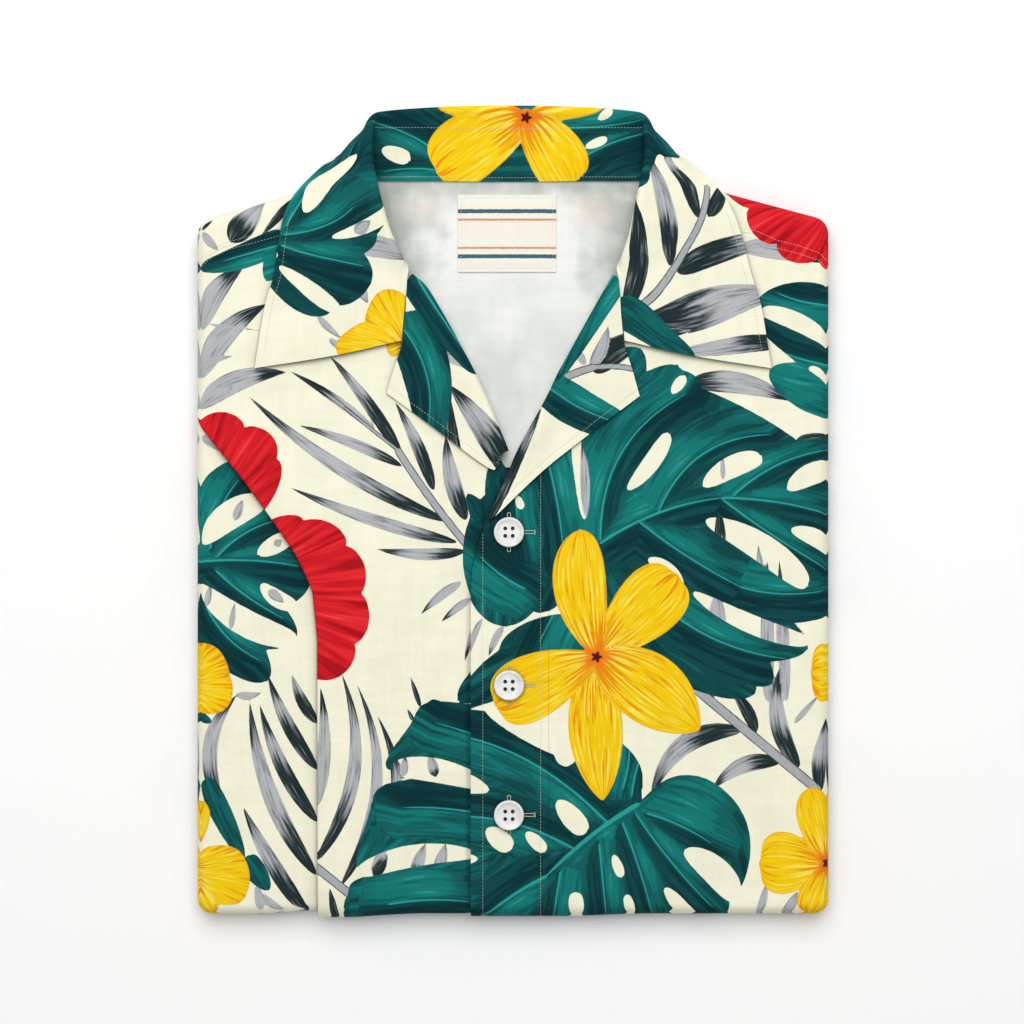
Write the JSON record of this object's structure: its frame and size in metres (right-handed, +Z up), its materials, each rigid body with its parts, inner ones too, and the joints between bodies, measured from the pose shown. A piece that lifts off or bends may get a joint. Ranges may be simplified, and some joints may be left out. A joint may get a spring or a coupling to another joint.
{
  "type": "folded short-sleeved camp-collar shirt",
  "caption": "Folded short-sleeved shirt lying face up, with an open camp collar, turned-out lapels, a buttoned front and a leaf and flower print.",
  "frame": {"origin": "centre of the folded shirt's outline, on the surface it lies on", "axes": "+Z up out of the surface, +Y towards the collar, +X towards the wearer's left"},
  "size_m": [0.316, 0.4062, 0.0279],
  "materials": {
    "cream": "soft printed plain weave",
    "teal": "soft printed plain weave",
    "wrong_side": "pale wrong side of the printed weave",
    "woven": "plain woven ribbon",
    "shell": "polished"
  },
  "bodies": {
    "root": {"folded_layers": "wrong_side", "back": "wrong_side", "label": "woven", "front_right": "cream", "front_left": "cream", "placket": "teal", "yoke_right": "cream", "yoke_left": "cream", "lapel_right": "teal", "lapel_left": "teal", "collar": "cream", "button_1": "shell", "button_2": "shell", "button_3": "shell"}
  },
  "joints": []
}
